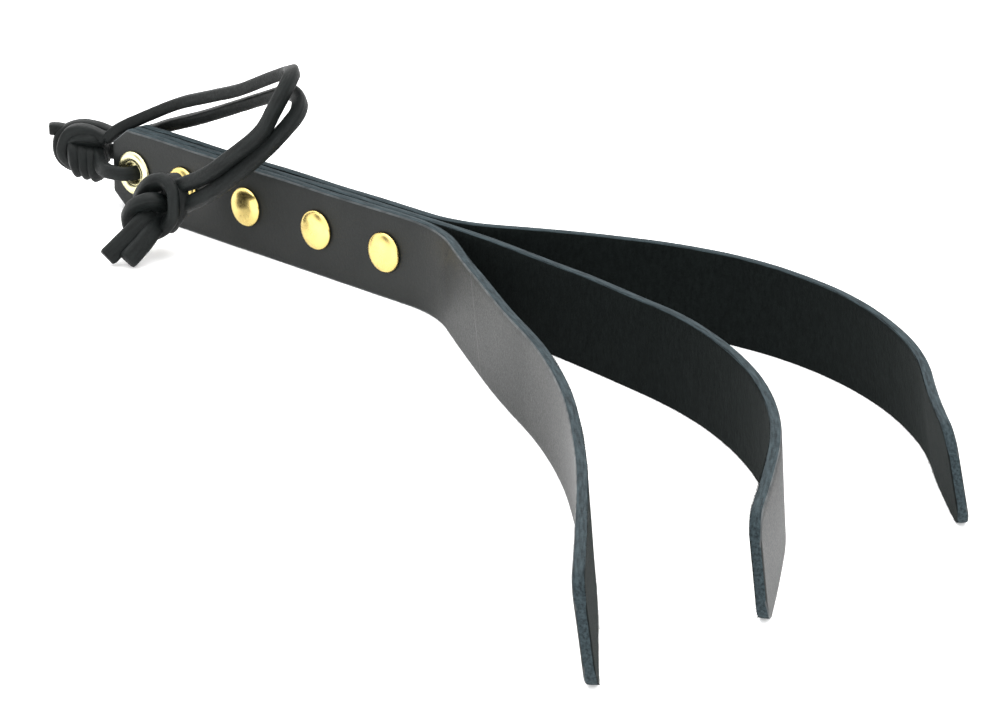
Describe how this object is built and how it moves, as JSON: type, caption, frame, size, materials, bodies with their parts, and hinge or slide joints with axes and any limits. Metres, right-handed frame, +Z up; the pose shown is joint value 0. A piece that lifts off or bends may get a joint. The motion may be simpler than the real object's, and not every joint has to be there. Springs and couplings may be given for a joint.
{
  "type": "leather strap swatter",
  "caption": "Leather fly swatter: straps riveted flat together as a handle, splaying into curled free tails, with an eyelet and a knotted lace wrist thong.",
  "frame": {"origin": "on the lower cut edge of the middle strap, straight below the first rivet from the butt", "axes": "+X along the handle towards the tails, +Z up across the width of the straps, +Y from the front strap towards the back strap"},
  "size_m": [0.3486, 0.1841, 0.0594],
  "materials": {
    "strap_leather": "black strap leather, satin grain on one side and matt flesh on the other",
    "lace_leather": "black leather lace, low sheen",
    "rivet_brass": "polished",
    "eyelet_brass": "polished, pale"
  },
  "bodies": {
    "handle": {"front_strap_grip": "strap_leather", "middle_strap_grip": "strap_leather", "back_strap_grip": "strap_leather", "rivet_1_front": "rivet_brass", "rivet_1_back": "rivet_brass", "rivet_2_front": "rivet_brass", "rivet_2_back": "rivet_brass", "rivet_3_front": "rivet_brass", "rivet_3_back": "rivet_brass", "rivet_4_front": "rivet_brass", "rivet_4_back": "rivet_brass", "eyelet_flange": "eyelet_brass", "eyelet_washer": "eyelet_brass"},
    "front_tail": {"front_strap_tail": "strap_leather"},
    "middle_tail": {"middle_strap_tail": "strap_leather"},
    "back_tail": {"back_strap_tail": "strap_leather"},
    "thong_ring": {"thong_bight": "lace_leather", "thong_inner_knot": "lace_leather", "thong_stub_end": "lace_leather"},
    "thong_loop": {"thong_upper_strand": "lace_leather", "thong_lower_strand": "lace_leather", "thong_end_knot": "lace_leather", "thong_tail_left": "lace_leather", "thong_tail_right": "lace_leather"}
  },
  "joints": [
    {"name": "front_tail_flex", "type": "hinge", "parent": "handle", "child": "front_tail", "pos_m": [0.09994, -0.00386, 0.0127], "axis": [0, 0, 1], "range_deg": [-28, 4], "stiffness_Nm_per_rad": 0.05},
    {"name": "middle_tail_flex", "type": "hinge", "parent": "handle", "child": "middle_tail", "pos_m": [0.1, -0.00007, 0.0127], "axis": [0, 0, 1], "range_deg": [-4, 6], "stiffness_Nm_per_rad": 0.05},
    {"name": "back_tail_flex", "type": "hinge", "parent": "handle", "child": "back_tail", "pos_m": [0.09994, 0.00383, 0.0127], "axis": [0, 0, 1], "range_deg": [-8, 28], "stiffness_Nm_per_rad": 0.05},
    {"name": "thong_swing", "type": "hinge", "parent": "handle", "child": "thong_ring", "pos_m": [-0.021, 0, 0.0127], "axis": [0, -1, 0], "range_deg": [-8, 90]},
    {"name": "thong_loop_bend", "type": "hinge", "parent": "thong_ring", "child": "thong_loop", "pos_m": [-0.045, -0.001, 0.013], "axis": [0, -1, 0], "range_deg": [0, 60]}
  ]
}
